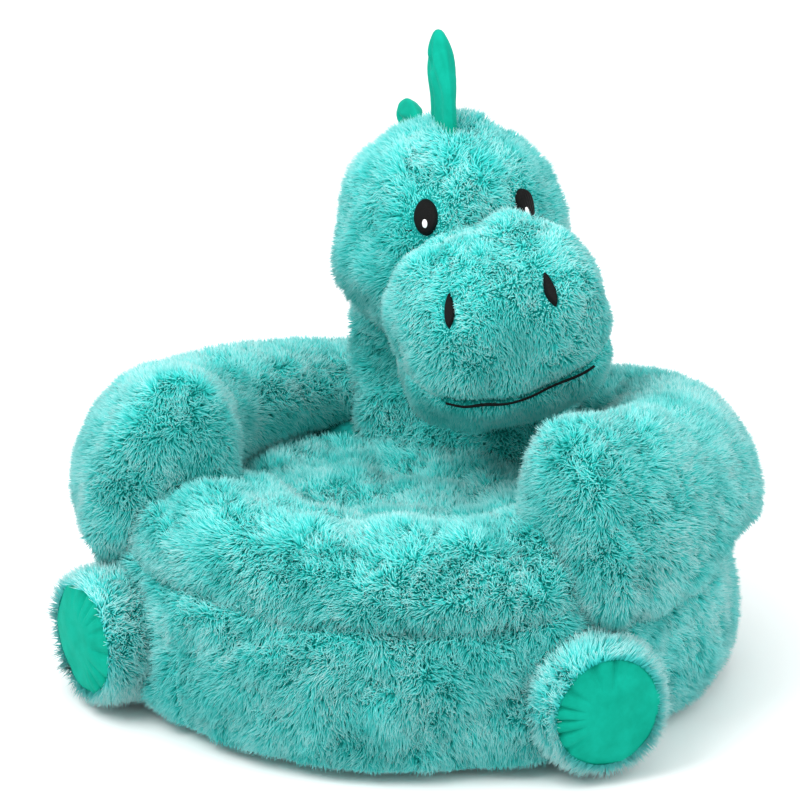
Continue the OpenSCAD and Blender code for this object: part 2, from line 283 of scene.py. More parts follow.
def blend_colours(tree, kind, factor, first, second):
    node = tree.nodes.new("ShaderNodeMix")
    node.data_type = "RGBA"
    node.blend_type = kind
    node.inputs["Factor"].default_value = factor
    wire(tree, first, node.inputs["A"])
    wire(tree, second, node.inputs["B"])
    return node.outputs["Result"]


# %% Long pile plush
# The root colour is painted shade trapped in the pile; the tip colour is painted light through the hairs.
SHADED_ROOT_TEAL = (0.005, 0.46, 0.42)
MID_TEAL = (0.065, 0.68, 0.65)
LIT_TIP_AQUA = (0.38, 0.88, 0.87)


def pile_finish(name, root, middle, tip):
    finish, tree, skin = material(name)
    place = tree.nodes.new("ShaderNodeUVMap")
    place.uv_map = "OFBake"
    split = tree.nodes.new("ShaderNodeSeparateXYZ")
    wire(tree, place.outputs["UV"], split.inputs["Vector"])
    # Up each hair: painted shade at the root, the plush's teal in the middle, painted light at the tip.
    along = ramp(tree, [(0.0, root), (0.45, middle), (1.0, tip)])
    wire(tree, split.outputs["Y"], along.inputs["Fac"])
    tone = ramp(tree, [(0.15, (0.25, 0.78, 0.76)), (0.5, (1, 1, 1)), (0.85, (1.9, 1.08, 1.09))])
    wire(tree, split.outputs["X"], tone.inputs["Fac"])
    colour = blend_colours(tree, "MULTIPLY", 1.0, along.outputs["Color"], tone.outputs["Color"])
    wire(tree, colour, skin.inputs["Base Color"])
    matt(skin, 0.75, 0.12)
    skin.inputs["Sheen Weight"].default_value = 0.08
    skin.inputs["Sheen Roughness"].default_value = 0.5
    return finish


plush = pile_finish("long_pile_plush", SHADED_ROOT_TEAL, MID_TEAL, LIT_TIP_AQUA)


# %% The backing that the pile grows on
def backing_finish(name, colour):
    finish, tree, skin = material(name)
    place = tree.nodes.new("ShaderNodeTexCoord")
    noise = tree.nodes.new("ShaderNodeTexNoise")
    noise.inputs["Scale"].default_value = 260
    noise.inputs["Detail"].default_value = 3
    wire(tree, place.outputs["Object"], noise.inputs["Vector"])
    darker = tuple(0.55 * c for c in colour)
    tone = ramp(tree, [(0.3, darker), (0.7, colour)])
    wire(tree, noise.outputs["Fac"], tone.inputs["Fac"])
    wire(tree, tone.outputs["Color"], skin.inputs["Base Color"])
    matt(skin, 0.95, 0.1)
    return finish


# The backing is darker than the hairs' roots: painted shade deep in the pile, over the backing's teal.
backing = backing_finish("plush_backing", (0.01, 0.34, 0.31))


# %% Velour, for the spikes and the soles
def velour_finish(name, colour, pale):
    finish, tree, skin = material(name)
    place = tree.nodes.new("ShaderNodeTexCoord")
    nap = tree.nodes.new("ShaderNodeTexNoise")
    nap.inputs["Scale"].default_value = 55
    nap.inputs["Detail"].default_value = 5
    nap.inputs["Roughness"].default_value = 0.6
    wire(tree, place.outputs["Object"], nap.inputs["Vector"])
    tone = ramp(tree, [(0.3, colour), (0.75, pale)])
    wire(tree, nap.outputs["Fac"], tone.inputs["Fac"])
    wire(tree, tone.outputs["Color"], skin.inputs["Base Color"])
    grain = tree.nodes.new("ShaderNodeTexNoise")
    grain.inputs["Scale"].default_value = 1400
    wire(tree, place.outputs["Object"], grain.inputs["Vector"])
    raise_grain(tree, skin, grain.outputs["Fac"], 0.25, 0.0006)
    matt(skin, 0.8, 0.06)
    skin.inputs["Sheen Weight"].default_value = 0.08
    skin.inputs["Sheen Roughness"].default_value = 0.35
    skin.inputs["Sheen Tint"].default_value = (0.1, 1, 0.8, 1)
    return finish


velour = velour_finish("green_velour", (0.001, 0.30, 0.205), (0.004, 0.40, 0.285))


# %% Embroidery thread
def thread_finish(name, colour):
    finish, tree, skin = material(name)
    place = tree.nodes.new("ShaderNodeTexCoord")
    stitch = tree.nodes.new("ShaderNodeTexWave")
    stitch.inputs["Scale"].default_value = 420
    stitch.inputs["Distortion"].default_value = 1.5
    wire(tree, place.outputs["Object"], stitch.inputs["Vector"])
    raise_grain(tree, skin, stitch.outputs["Fac"], 0.5, 0.0004)
    # The raised stitches are painted lighter: a painted highlight on their crests.
    lit_crest = tuple(min(1, c * 1.15 + 0.003) for c in colour)
    tone = ramp(tree, [(0.0, colour), (1.0, lit_crest)])
    wire(tree, stitch.outputs["Fac"], tone.inputs["Fac"])
    wire(tree, tone.outputs["Color"], skin.inputs["Base Color"])
    matt(skin, 0.6, 0.12)
    return finish


black_thread = thread_finish("black_thread", (0.002, 0.002, 0.002))
white_thread = thread_finish("white_thread", (0.85, 0.85, 0.85))
print("finishes:", [m.name for m in bpy.data.materials][:8])


# %% [markdown]
# ## The pile
# A hair system can't leave Blender as a mesh, so each hair is a real three-sided spike with a
# pointed tip. One hair is modelled, and geometry nodes scatter it over a skin, turn it the way
# the pile is combed and give it its length. The modifier is then applied, which leaves a mesh.

# %% One hair
HAIR_W = 0.0014
bpy.ops.object.select_all(action="DESELECT")
bpy.ops.mesh.primitive_cone_add(
    vertices=3, radius1=HAIR_W / 2, depth=1, end_fill_type="NOTHING", location=(0, 0, 0.5)
)
hair = bpy.context.object
hair.name = "hair"
bpy.ops.object.transform_apply(location=True)


# %% The nodes that grow it
def feed(tree, sockets, values):
    """Wires or sets each socket, as its value is an output or a plain number."""
    for socket, value in zip(sockets, values):
        if isinstance(value, bpy.types.NodeSocket):
            tree.links.new(value, socket)
        else:
            socket.default_value = value


def add_node(tree, kind, **inputs):
    node = tree.nodes.new(kind)
    feed(tree, [node.inputs[name.replace("_", " ")] for name in inputs], inputs.values())
    return node


def vector_math(tree, operation, *values):
    node = tree.nodes.new("ShaderNodeVectorMath")
    node.operation = operation
    feed(tree, node.inputs, values)
    return node.outputs["Vector"]


def scaled(tree, vector, amount):
    node = tree.nodes.new("ShaderNodeVectorMath")
    node.operation = "SCALE"
    feed(tree, (node.inputs[0], node.inputs["Scale"]), (vector, amount))
    return node.outputs["Vector"]


def number(tree, operation, *values):
    node = tree.nodes.new("ShaderNodeMath")
    node.operation = operation
    feed(tree, node.inputs, values)
    return node.outputs["Value"]


def named(tree, name, kind):
    node = tree.nodes.new("GeometryNodeInputNamedAttribute")
    node.data_type = kind
    node.inputs["Name"].default_value = name
    return node.outputs["Attribute"]


def store(tree, geometry, name, kind, domain, value):
    node = tree.nodes.new("GeometryNodeStoreNamedAttribute")
    node.data_type = kind
    node.domain = domain
    node.inputs["Name"].default_value = name
    tree.links.new(geometry, node.inputs["Geometry"])
    tree.links.new(value, node.inputs["Value"])
    return node.outputs["Geometry"]


def random_between(tree, low, high, seed, kind="FLOAT"):
    node = tree.nodes.new("FunctionNodeRandomValue")
    node.data_type = kind
    index = 0 if kind == "FLOAT_VECTOR" else 2
    node.inputs[index].default_value = low
    node.inputs[index + 1].default_value = high
    node.inputs["Seed"].default_value = seed
    return node.outputs["Value" if kind != "FLOAT_VECTOR" else 0]


def tuft_noise(tree, size, detail):
    return add_node(tree, "ShaderNodeTexNoise", Scale=1 / size, Detail=detail)


def pile_nodes(name, per_m2, seed, tuft, spread):
    tree = bpy.data.node_groups.new(name, "GeometryNodeTree")
    tree.is_modifier = True
    for way in ("INPUT", "OUTPUT"):
        tree.interface.new_socket("Geometry", in_out=way, socket_type="NodeSocketGeometry")
    skin = tree.nodes.new("NodeGroupInput").outputs["Geometry"]
    cover = named(tree, "pile", "FLOAT")
    density = number(tree, "MULTIPLY", number(tree, "GREATER_THAN", cover, 0.0004), per_m2)
    points = add_node(
        tree, "GeometryNodeDistributePointsOnFaces", Mesh=skin, Density=density, Seed=seed
    )
    spot, facing_way = points.outputs["Points"], points.outputs["Normal"]
    spot = store(tree, spot, "soft", "FLOAT_VECTOR", "POINT", facing_way)
    noise = tuft_noise(tree, tuft, 2)
    sway = vector_math(tree, "SUBTRACT", noise.outputs["Color"], (0.5, 0.5, 0.5))
    stray = random_between(tree, (-spread,) * 3, (spread,) * 3, seed + 1, "FLOAT_VECTOR")
    way = vector_math(tree, "ADD", named(tree, "comb", "FLOAT_VECTOR"), scaled(tree, sway, 2.4))
    way = vector_math(tree, "ADD", way, stray)
    way = vector_math(tree, "ADD", way, named(tree, "soft", "FLOAT_VECTOR"))
    turn = add_node(tree, "FunctionNodeAlignRotationToVector", Vector=way)
    turn.axis = "Z"
    spin = tree.nodes.new("FunctionNodeRotateRotation")
    spin.rotation_space = "LOCAL"
    tree.links.new(turn.outputs["Rotation"], spin.inputs["Rotation"])
    around = tree.nodes.new("ShaderNodeCombineXYZ")
    tree.links.new(random_between(tree, 0.0, 6.283, seed + 2), around.inputs["Z"])
    tree.links.new(around.outputs["Vector"], spin.inputs["Rotate By"])
    length = number(tree, "MULTIPLY", cover, random_between(tree, 0.75, 1.2, seed + 3))
    size = tree.nodes.new("ShaderNodeCombineXYZ")
    thick = random_between(tree, 0.8, 1.25, seed + 4)
    tree.links.new(thick, size.inputs["X"])
    tree.links.new(thick, size.inputs["Y"])
    tree.links.new(length, size.inputs["Z"])
    shade_noise = tuft_noise(tree, tuft * 2.2, 2)
    shade = number(tree, "ADD", shade_noise.outputs["Fac"], named(tree, "tone", "FLOAT"))
    shade = number(tree, "ADD", shade, random_between(tree, -0.16, 0.16, seed + 5))
    spot = store(tree, spot, "shade", "FLOAT", "POINT", shade)
    model = tree.nodes.new("GeometryNodeObjectInfo")
    model.inputs["Object"].default_value = hair
    grown = add_node(
        tree,
        "GeometryNodeInstanceOnPoints",
        Points=spot,
        Instance=model.outputs["Geometry"],
        Rotation=spin.outputs["Rotation"],
        Scale=size.outputs["Vector"],
    )
    real = add_node(tree, "GeometryNodeRealizeInstances", Geometry=grown.outputs["Instances"])
    out = tree.nodes.new("NodeGroupOutput")
    tree.links.new(real.outputs["Geometry"], out.inputs["Geometry"])
    return tree


# %% Growing it on a skin
PER_M2 = 560000
pile_count = 0


def put_attribute(obj, name, kind, values):
    slot = obj.data.attributes.new(name, kind, "POINT")
    field = "vector" if kind == "FLOAT_VECTOR" else "value"
    slot.data.foreach_set(field, np.asarray(values, dtype=np.float32).ravel())


def grow_pile(skin, name, length, seed, comb=(0, 0, -0.35), tone=0.0, tuft=0.009, spread=0.34, cover=None):
    """Copies the skin, grows hairs on the copy and leaves only the hairs.

    cover gives each of the skin's points a share of the length, and 0 leaves it bare."""
    global pile_count
    places = points_of(skin)
    share = np.ones(len(places)) if cover is None else cover(places)
    patch = lumps(places, 0.085, seed // 20 + 50)
    lean = np.tile(np.asarray(comb, dtype=float), (len(places), 1))
    lean += 0.30 * np.stack([lumps(places, 0.045, seed + k) for k in (60, 70, 80)], axis=1)
    ground = skin.copy()
    ground.data = skin.data.copy()
    ground.name = ground.data.name = name
    bpy.context.scene.collection.objects.link(ground)
    put_attribute(ground, "pile", "FLOAT", share * length)
    put_attribute(ground, "comb", "FLOAT_VECTOR", lean)
    put_attribute(ground, "tone", "FLOAT", 0.10 * patch + tone)
    alone(ground)
    grower = ground.modifiers.new("pile", "NODES")
    grower.node_group = pile_nodes(name, PER_M2, seed, tuft, spread)
    bpy.ops.object.modifier_apply(modifier=grower.name)
    finish_pile(ground, length)
    pile_count += len(ground.data.polygons)
    print(f"{name}: {len(ground.data.polygons)} triangles, {pile_count} in all")
    return ground


def finish_pile(pile, length):
    """Lays the hairs' map, gives them soft shading and their finish."""
    mesh = pile.data
    shade = np.empty(len(mesh.vertices), dtype=np.float32)
    mesh.attributes["shade"].data.foreach_get("value", shade)
    soft = np.empty(len(mesh.vertices) * 3, dtype=np.float32)
    mesh.attributes["soft"].data.foreach_get("vector", soft)
    soft = soft.reshape(-1, 3)
    corner = np.empty(len(mesh.loops), dtype=np.int32)
    mesh.loops.foreach_get("vertex_index", corner)
    up = (np.arange(len(mesh.vertices)) % 4 == TIP_INDEX).astype(np.float32)
    for layer in list(mesh.uv_layers):
        mesh.uv_layers.remove(layer)
    uv = mesh.uv_layers.new(name="OFBake")
    places = np.stack([np.clip(shade, 0.02, 0.98), 0.02 + 0.96 * up], axis=1)[corner]
    uv.data.foreach_set("uv", places.ravel())
    places = points_of(pile)
    places[:, 2] = np.maximum(places[:, 2], 0.0005)
    move_points(pile, places)
    for spare in ("shade", "soft", "pile", "comb", "tone"):
        if spare in mesh.attributes:
            mesh.attributes.remove(mesh.attributes[spare])
    mesh.polygons.foreach_set("use_smooth", np.ones(len(mesh.polygons), dtype=bool))
    bent = normals_of(pile) * 0.8 + soft
    bent /= np.linalg.norm(bent, axis=1)[:, None]
    mesh.normals_split_custom_set_from_vertices(bent)
    mesh.materials.clear()
    mesh.materials.append(plush)


tips = points_of(hair)[:, 2]
TIP_INDEX = int(np.argmax(tips))
print("hair:", len(hair.data.vertices), "points, tip is number", TIP_INDEX)


# %% [markdown]
# ## The base and the seat
# The base is a drum of foam with a furry band round it. The band is gathered a little into the
# seam at its top, so the seam sits in a crease under the front roll of the seat.


# %% Base band
def base_band(u, v):
    turn = 2 * np.pi * u
    rise = np.radians(mix(-90, 64, v))
    edge = np.where(rise < 0, 0.037, 0.056)
    out = base_r - edge + (edge + 0.003) * np.abs(np.cos(rise)) ** 0.55
    up = 0.067 + 0.0655 * np.sign(np.sin(rise)) * np.abs(np.sin(rise)) ** 0.85
    spot = np.stack([out * np.cos(turn), out * np.sin(turn), up], axis=1)
    swell = 0.0035 * lumps(spot, 0.10, 3) + 0.0018 * lumps(spot, 0.035, 4)
    out = out + swell * smooth(v * 4)
    return np.stack([out * np.cos(turn), out * np.sin(turn), up], axis=1)


base_skin = panel("base_band", 220, 40, base_band, (0, 0, 0.06))
base_skin.data.materials.append(backing)
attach(base_skin, "chair")
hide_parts("base_side_cover", "base_foam")

# %% Its pile, in three lengths round the base so that none is too heavy
def third(k):
    def cover(places):
        turn = (np.degrees(np.arctan2(places[:, 1], places[:, 0])) + 360) % 360
        inside = (turn >= 120 * k) & (turn < 120 * (k + 1))
        return inside * smooth((places[:, 2] - 0.004) / 0.012) * np.ones(len(places))
    return cover


for k in range(3):
    pile = grow_pile(base_skin, f"base_pile_{k + 1}", PILE, 100 + k, cover=third(k))
    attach(pile, "chair")


# %% Seat: a sunken middle and a stuffed roll along the front
PIT = base_h + 0.002
ROLL_RHO, ROLL_TOP = base_r - 0.052, base_h + 0.045


def seat_top(u, v):
    turn = 2 * np.pi * u
    front = np.degrees(np.abs((turn - 1.5 * np.pi + np.pi) % (2 * np.pi) - np.pi))
    stuffed = smooth((78 - front) / 26)
    roll = np.radians(mix(180, -14, np.clip((v - 0.42) / 0.58, 0, 1)))
    reach = np.where(np.cos(roll) < 0, 0.082, 0.045)
    out = np.where(v < 0.42, v / 0.42 * (ROLL_RHO - 0.082), ROLL_RHO + reach * np.cos(roll))
    height = np.maximum(np.sin(roll), 0) ** np.where(np.cos(roll) < 0, 1.5, 0.9)
    up = PIT + (ROLL_TOP - PIT) * height * stuffed - 0.006 * (v > 0.97)
    spot = np.stack([out * np.cos(turn), out * np.sin(turn), up], axis=1)
    dent = 0.004 * lumps(spot, 0.07, 11) + 0.0022 * lumps(spot, 0.03, 12)
    spot[:, 2] += dent * smooth((1 - v) * 6)
    return spot


seat_skin = panel("seat_top", 200, 90, seat_top, (0, 0, 0.05))
seat_skin.data.materials.append(backing)
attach(seat_skin, "chair")
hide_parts("seat_roll_cover", "seat_pit_cover", "seat_roll_fibre")


# %% Seat pile
def on_roll(places):
    front = np.degrees(np.abs(np.arctan2(places[:, 0], -places[:, 1])))
    rho = np.hypot(places[:, 0], places[:, 1])
    return ((front < 64) & (rho >= 0.125)).astype(float)


def in_pit(places):
    rho = np.hypot(places[:, 0], places[:, 1])
    front = np.degrees(np.abs(np.arctan2(places[:, 0], -places[:, 1])))
    seen = (rho < 0.150) & ~((front < 64) & (rho >= 0.125)) & (places[:, 1] < 0.095)
    return seen.astype(float)


for name, cover, seed, comb in (
    ("seat_roll_pile", on_roll, 130, (0, -0.25, -0.2)),
    ("seat_pit_pile", in_pit, 131, (0, -0.3, 0)),
):
    pile = grow_pile(seat_skin, name, PILE, seed, comb=comb, cover=cover)
    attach(pile, "chair")


# %% [markdown]
# ## The arms
# Each arm is a fat bolster that is tallest at its front end and sinks towards the chest. It
# lies on the base and hangs a little over its side. Its front end is closed by an oval panel.

# %% The arm's sweep
ARM_FRONT, ARM_REAR = 57.0, 160.0
ARM_RHO = arm_box[1][0] - 0.058
ARM_TOP = (arm_box[1][2] - 0.010, back_box[1][2] - 0.016)
ARM_LOW = (0.101, 0.122)
CROWN = 0.030
LEAN, TAPER = 0.16, 0.22


def arm_shape(u, v, full):
    """v runs from the crown of the end panel, over its seam at 0.2, to the chest."""
    t = np.clip((v - 0.2) / 0.8, 0, 1)
    cap = np.radians(90 * np.clip(1 - v / 0.2, 0, 1))
    share = np.cos(cap) ** 0.8
    ahead = CROWN * np.sin(cap)
    a = np.radians(mix(ARM_FRONT, ARM_REAR, t))
    face = np.radians(mix(np.degrees(a), 180, smooth((t - 0.55) / 0.45)))
    drop = mix((1 - t) ** 1.7, 1 - t ** 1.5, full)
    top = ARM_TOP[1] + (ARM_TOP[0] - ARM_TOP[1]) * drop
    low = mix(ARM_LOW[0], ARM_LOW[1], smooth(t / 0.4))
    tuck = smooth((t - 0.66) / 0.34)
    half_w = mix(0.054, 0.047, t) * (1 - 0.16 * tuck)
    rho = ARM_RHO * (1 - 0.030 * tuck)
    q = 2 * np.pi * u
    wide = np.sign(np.cos(q)) * np.abs(np.cos(q)) ** (2 / 2.3) * half_w * share
    tall = np.sign(np.sin(q)) * np.abs(np.sin(q)) ** (2 / 2.3) * (top - low) / 2 * share
    early = 1 - smooth((t - 0.4) / 0.6)
    wide = wide * (1 - early * TAPER * tall / ((top - low) / 2)) - LEAN * tall * early
    cx = rho * np.sin(a) - ahead * np.cos(a)
    cy = -rho * np.cos(a) - ahead * np.sin(a)
    spot = np.stack([cx + wide * np.sin(face), cy - wide * np.cos(face), (top + low) / 2 + tall], axis=1)
    middle = np.stack([cx, cy, (top + low) / 2], axis=1)
    swell = 1 + 0.035 * lumps(spot, 0.085, 21) + 0.018 * lumps(spot, 0.032, 22)
    seam = 1 - 0.040 * np.exp(-(((v - 0.2) / 0.022) ** 2))
    return middle + (spot - middle) * (swell * seam)[:, None]


def right_arm(u, v):
    return arm_shape(u, v, 0.45)


def left_arm(u, v):
    """The left arm is a little flatter than the right one, as it is stuffed by hand."""
    return arm_shape(u, v, -0.1) * (-1, 1, 1)


# %% Both arms and their pile
def arm_cover(first, last, side):
    def cover(places):
        x = side * places[:, 0]
        turn = np.degrees(np.arctan2(x, -places[:, 1]))
        rho = np.hypot(places[:, 0], places[:, 1])
        hidden = (places[:, 2] < 0.128) & (rho < base_r - 0.012)
        return ((turn >= first) & (turn < last) & ~hidden).astype(float)
    return cover


for side, name, seed in ((-1, "left", 200), (1, "right", 220)):
    shape = right_arm if side > 0 else left_arm
    inside = (side * ARM_RHO * 0.9, 0, 0.16)
    arm = panel(f"arm_{name}", 84, 120, shape, inside)
    arm.data.materials.append(backing)
    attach(arm, "chair")
    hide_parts(f"arm_{name}_cover", f"arm_{name}_end_panel", f"arm_{name}_fibre")
    for k, (first, last) in enumerate(((0, 72), (72, 118), (118, 181))):
        pile = grow_pile(
            arm, f"arm_{name}_pile_{k + 1}", PILE, seed + k,
            comb=(0.1 * side, -0.15, -0.3), tone=0.03, cover=arm_cover(first, last, side),
        )
        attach(pile, "chair")


# %% [markdown]
# ## The chest, the back and the neck
# One upright column of stuffing carries the head. Its front is the chest panel, its rear the
# back panel. The neck is two rings of the same plush, a lower and an upper one.

# %% Column
NECK_LOW, NECK_MID, NECK_HIGH = 0.196, 0.216, 0.273
column_y = (chest_box[0][1] + back_box[1][1]) / 2


def column(u, height):
    turn = 2 * np.pi * u
    t = smooth((height - 0.15) / 0.10)
    half_w = mix(chest_box[1][0] - ROOT, 0.084, t)
    half_d = mix((back_box[1][1] - chest_box[0][1]) / 2 - ROOT, 0.074, t)
    cx, cy = mix(0, neck[0], t), mix(column_y, neck[1] + 0.002, t)
    square = mix(3.2, 2.1, t)
    under_head = smooth((height - 0.243) / 0.030)
    half_w, half_d = half_w - 0.020 * under_head, half_d - 0.018 * under_head
    c, s = np.cos(turn), np.sin(turn)
    across = np.sign(c) * np.abs(c) ** (2 / square) * half_w
    along = np.sign(s) * np.abs(s) ** (2 / square) * half_d
    along += 0.029 * np.clip(-s, 0, 1) * smooth((height - 0.130) / 0.060)
    spot = np.stack([cx + across, cy + along, height], axis=1)
    swell = 1 + 0.03 * lumps(spot, 0.08, 31) + 0.015 * lumps(spot, 0.035, 32)
    spot[:, 0] = cx + across * swell
    spot[:, 1] = cy + along * swell
    return spot


def ring(bottom, top):
    return lambda u, v: column(u, mix(bottom, top, v))


def facing(front):
    return lambda places: ((places[:, 1] < column_y) == front).astype(float)


chest = panel("chest_column", 140, 30, ring(0.118, NECK_LOW), (0, column_y, 0.16))
chest.data.materials.append(backing)
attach(chest, "chair")
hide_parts("chest_panel", "back_panel", "chest_fibre")
for name, front, seed in (("chest_pile", True, 240), ("back_pile", False, 241)):
    pile = grow_pile(chest, name, PILE, seed, tone=-0.02 * front, cover=facing(front))
    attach(pile, "chair")

# %% Neck rings
for name, bottom, top, pair, seed in (
    ("neck_low", NECK_LOW, NECK_MID, ("chair", "neck"), 250),
    ("neck_high", NECK_MID, NECK_HIGH, ("neck", "head"), 252),
):
    band = panel(name, 140, 24, ring(bottom, top), (neck[0], neck[1], (bottom + top) / 2))
    band.data.materials.append(backing)
    pile = grow_pile(band, f"{name}_pile", PILE, seed, tone=-0.08)
    start, end = (neck[0], neck[1], bottom), (neck[0], neck[1], top)
    for piece in (band, pile):
        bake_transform(piece)
    if name == "neck_low":
        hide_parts("neck_collar", "neck_fibre")


# %% [markdown]
# ## The head
# The head is a stuffed ball, a little fuller at the cheeks. It was sewn on turned to its own
# left and tilted. The face is worked out in a frame of its own: right, back and up.


# %% Frames for the face
def axes(yaw, roll, nod=0.0):
    """Columns are the right, back and up of something turned, tilted and nodded, in degrees."""
    z, y, x = np.radians((yaw, -roll, -nod))
    turn = np.array([[np.cos(z), -np.sin(z), 0], [np.sin(z), np.cos(z), 0], [0, 0, 1]])
    tilt = np.array([[np.cos(y), 0, np.sin(y)], [0, 1, 0], [-np.sin(y), 0, np.cos(y)]])
    dip = np.array([[1, 0, 0], [0, np.cos(x), -np.sin(x)], [0, np.sin(x), np.cos(x)]])
    return turn @ tilt @ dip


HEAD_YAW = math.degrees(head_yaw)
head_axes = axes(HEAD_YAW, 5)
muzzle_axes = axes(HEAD_YAW - 7, 10)
muzzle = head + axes(HEAD_YAW, 0) @ np.array([0.011, -0.108, -0.038])
SKIN_R = HEAD_R - 0.0085


def head_surface(ways, height=0.0):
    """Points of the head in the directions given in its own frame."""
    ways = ways / np.linalg.norm(ways, axis=1)[:, None]
    cheek = smooth((0.15 - ways[:, 2]) / 0.9) * smooth((ways[:, 2] + 1.0) / 0.5)
    spot = ways * (SKIN_R + np.reshape(height, (-1, 1)))
    spot[:, 0] *= 1 + 0.16 * cheek
    spot[:, 1] *= 1 + 0.05 * cheek
    spot += ways * (0.0028 * lumps(spot, 0.07, 41) + 0.0012 * lumps(spot, 0.03, 42))[:, None]
    return head + spot @ head_axes.T


head_skin = panel("head_skin", 120, 72, ball(head_surface), head)
head_skin.data.materials.append(backing)
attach(head_skin, "head")
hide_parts("head_cover", "head_fibre")

# %% [markdown]
# ## The snout and the jaw
# The muzzle is one fat barrel with soft corners. A fold divides it: above is the snout, below
# is the jaw, which is set back a little. Both skins are cut from the same form, with bisect
# left out because the fold is curved: the faces past the mouth are picked by place and deleted.

# %% Muzzle form
MUZZLE = np.array([0.078, 0.066, 0.072])
SQUARE = 2.5


def mouth_height(x):
    """Height of the mouth in the muzzle's frame: a slight smile."""
    return -0.038 + 0.011 * (x / 0.060) ** 2


def muzzle_surface(ways, height=0.0):
    ways = ways / np.linalg.norm(ways, axis=1)[:, None]
    reach = np.sum(np.abs(ways / MUZZLE) ** SQUARE, axis=1) ** (-1 / SQUARE) + height
    spot = ways * reach[:, None]
    low = smooth((-0.006 - spot[:, 2]) / 0.05)
    high = smooth((spot[:, 2] - 0.020) / 0.055)
    spot[:, 0] *= 1 + 0.05 * low - 0.05 * high
    front = smooth(-spot[:, 1] / 0.03)
    spot[:, 1] += front * 0.016 * high
    gape = spot[:, 2] - mouth_height(spot[:, 0])
    spot[:, 1] += front * 0.009 * smooth(-gape / 0.034)
    groove = 0.0055 * np.exp(-((gape / 0.0045) ** 2)) * front
    spot -= ways * groove[:, None]
    spot += ways * (0.0026 * lumps(spot, 0.07, 43) + 0.0012 * lumps(spot, 0.026, 44))[:, None]
    return spot


def in_muzzle_frame(places):
    return (places - muzzle) @ muzzle_axes


def cut_skin(obj, keep):
    """Deletes the faces whose middle, in the muzzle's frame, isn't kept."""
    alone(obj)
    bpy.ops.object.mode_set(mode="EDIT")
    bpy.ops.mesh.select_all(action="DESELECT")
    bpy.ops.object.mode_set(mode="OBJECT")
    for face in obj.data.polygons:
        face.select = not keep(in_muzzle_frame(np.array(face.center)[None])[0])
    bpy.ops.object.mode_set(mode="EDIT")
    bpy.ops.mesh.delete(type="FACE")
    bpy.ops.object.mode_set(mode="OBJECT")


def muzzle_skin(name, keep):
    surface = ball(lambda ways: muzzle + muzzle_surface(ways) @ muzzle_axes.T)
    obj = panel(name, 140, 90, surface, muzzle)
    cut_skin(obj, keep)
    obj.data.materials.append(backing)
    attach(obj, "head")
    return obj


snout_skin = muzzle_skin("snout_skin", lambda p: p[2] > mouth_height(p[0]) - 0.001)
jaw_skin = muzzle_skin("jaw_skin", lambda p: p[2] < mouth_height(p[0]) + 0.001)
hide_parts("snout_cover", "snout_fibre")
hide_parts("jaw_cover")


# %% [markdown]
# ## Eyes, nostrils and mouth
# They are embroidered through the pile, in black thread with a white glint in each eye. Each
# is a small crowned patch that lies on the head or on the snout.

# %% Patches
EYE_W, EYE_H = 0.0096, 0.0145
EYE_WAYS = {"left": (-28.5, 24.5), "right": (35.0, 23.5)}
NOSTRIL_X, NOSTRIL_Z = 0.037, 0.037


def eye_axes(side):
    yaw, up = EYE_WAYS[side]
    return axes(HEAD_YAW + yaw, 0, up)


def on_head(local, frame_of, height):
    """Points at local right and up distances of a frame, laid on the head."""
    ways = SKIN_R * -frame_of[:, 1] + local[:, :1] * frame_of[:, 0] + local[:, 1:] * frame_of[:, 2]
    return head_surface(ways @ head_axes, height)


def oval(u, v, w, h, point, tilt):
    """An oval w by h, narrower at its ends as point goes up, tilted in degrees."""
    q = 2 * np.pi * u
    x, z = w * v * np.cos(q), h * v * np.sin(q)
    x = x * (1 - point * np.abs(z / h) ** 2)
    t = np.radians(tilt)
    return np.stack([x * np.cos(t) - z * np.sin(t), x * np.sin(t) + z * np.cos(t)], axis=1)


def patch(name, place, finish, slot_name, node, inside, around=48, rings=8):
    obj = panel(name, around, rings, place, inside)
    obj.data.materials.append(finish)
    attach(obj, "head")
    if node:
        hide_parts(node)
    return obj


def crown(v, low, high):
    return low + (high - low) * np.sqrt(np.clip(1 - v ** 6, 0, 1))


for side, sign in (("left", -1), ("right", 1)):
    eye_frame = eye_axes(side)

    def eye_place(u, v):
        local = oval(u, v, EYE_W, EYE_H, 0.08, 12)
        return on_head(local, eye_frame, crown(v, 0.001, 0.0048))

    def glint_place(u, v):
        rise = -0.0052 if sign < 0 else -0.0022
        local = oval(u, v, 0.0021, 0.0034, 0.0, 12) + np.array([-0.001 - 0.002 * sign, rise])
        return on_head(local, eye_frame, crown(v, 0.0045, 0.0054))

    def lash_place(u, v):
        s = u
        x = sign * (0.0075 + 0.0075 * s)
        z = -0.0105 - 0.0016 * np.sin(np.pi * s) + 0.0012 * s
        local = np.stack([x, z + (v - 0.5) * 0.0012 * (1 - 0.7 * s)], axis=1)
        return on_head(local, eye_frame, 0.0066 - 0.0008 * np.abs(v - 0.5))

    patch(f"eye_patch_{side}", eye_place, black_thread, "black_embroidery", f"eye_{side}", head)
    patch(f"glint_patch_{side}", glint_place, white_thread, "white_embroidery",
          f"eye_glint_{side}", head, 24, 5)
    patch(f"lash_{side}", lash_place, black_thread, "black_embroidery", None, head, 14, 3)


# %% Nostrils
def snout_front(x, z, height):
    """Points on the snout's front at places across and up in the muzzle's frame."""
    depth = 1 - np.abs(x / MUZZLE[0]) ** SQUARE - np.abs(z / MUZZLE[2]) ** SQUARE
    y = -MUZZLE[1] * np.clip(depth, 0, 1) ** (1 / SQUARE)
    return muzzle + muzzle_surface(np.stack([x, y, z], axis=1), height) @ muzzle_axes.T


